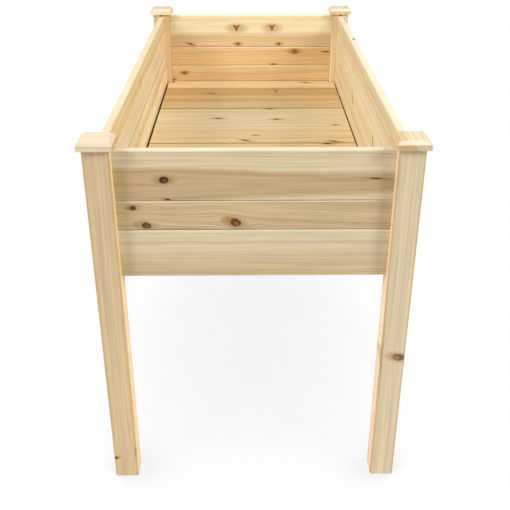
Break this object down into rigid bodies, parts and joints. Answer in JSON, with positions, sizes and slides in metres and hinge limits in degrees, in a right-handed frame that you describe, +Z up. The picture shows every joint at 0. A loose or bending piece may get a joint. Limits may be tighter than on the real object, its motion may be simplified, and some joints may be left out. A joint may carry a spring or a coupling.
{
  "type": "raised planter",
  "caption": "Raised wooden planter bed on square legs, with tongue-and-groove board walls dovetailed into the legs, sloped leg caps and a loose panel floor",
  "frame": {"origin": "centre of the footprint, on the ground under the feet", "axes": "+X across the width, +Y along the length towards the rear end, +Z up; the picture looks along +Y"},
  "size_m": [0.61, 1.22, 0.762],
  "materials": {
    "leg_fir": "bare planed fir",
    "cap_fir": "bare planed fir",
    "wall_fir": "bare planed fir with knots",
    "floor_fir": "bare planed fir, edge-glued, with knots",
    "rail_fir": "bare planed fir",
    "dowel_beech": "fluted hardwood dowel",
    "screw_steel": "zinc-plated"
  },
  "bodies": {
    "root": {"leg_front_left": "leg_fir", "leg_front_right": "leg_fir", "leg_rear_left": "leg_fir", "leg_rear_right": "leg_fir", "cap_front_left": "cap_fir", "cap_front_right": "cap_fir", "cap_rear_left": "cap_fir", "cap_rear_right": "cap_fir", "front_end_board_bottom": "wall_fir", "front_end_board_middle": "wall_fir", "front_end_board_top": "wall_fir", "rear_end_board_bottom": "wall_fir", "rear_end_board_middle": "wall_fir", "rear_end_board_top": "wall_fir", "left_side_board_bottom": "wall_fir", "left_side_board_middle": "wall_fir", "left_side_board_top": "wall_fir", "right_side_board_bottom": "wall_fir", "right_side_board_middle": "wall_fir", "right_side_board_top": "wall_fir", "floor_panel_1_stave_1": "floor_fir", "floor_panel_1_stave_2": "floor_fir", "floor_panel_1_stave_3": "floor_fir", "floor_panel_2_stave_1": "floor_fir", "floor_panel_2_stave_2": "floor_fir", "floor_panel_2_stave_3": "floor_fir", "floor_panel_3_stave_1": "floor_fir", "floor_panel_3_stave_2": "floor_fir", "floor_panel_3_stave_3": "floor_fir", "floor_panel_4_stave_1": "floor_fir", "floor_panel_4_stave_2": "floor_fir", "floor_panel_4_stave_3": "floor_fir", "side_ledger_left": "rail_fir", "side_ledger_right": "rail_fir", "end_ledger_front": "rail_fir", "end_ledger_rear": "rail_fir", "floor_bearer_front": "rail_fir", "floor_bearer_middle": "rail_fir", "floor_bearer_rear": "rail_fir", "cap_dowels": "dowel_beech", "side_ledger_screws": "screw_steel", "end_ledger_screws": "screw_steel", "bearer_screws": "screw_steel"}
  },
  "joints": []
}
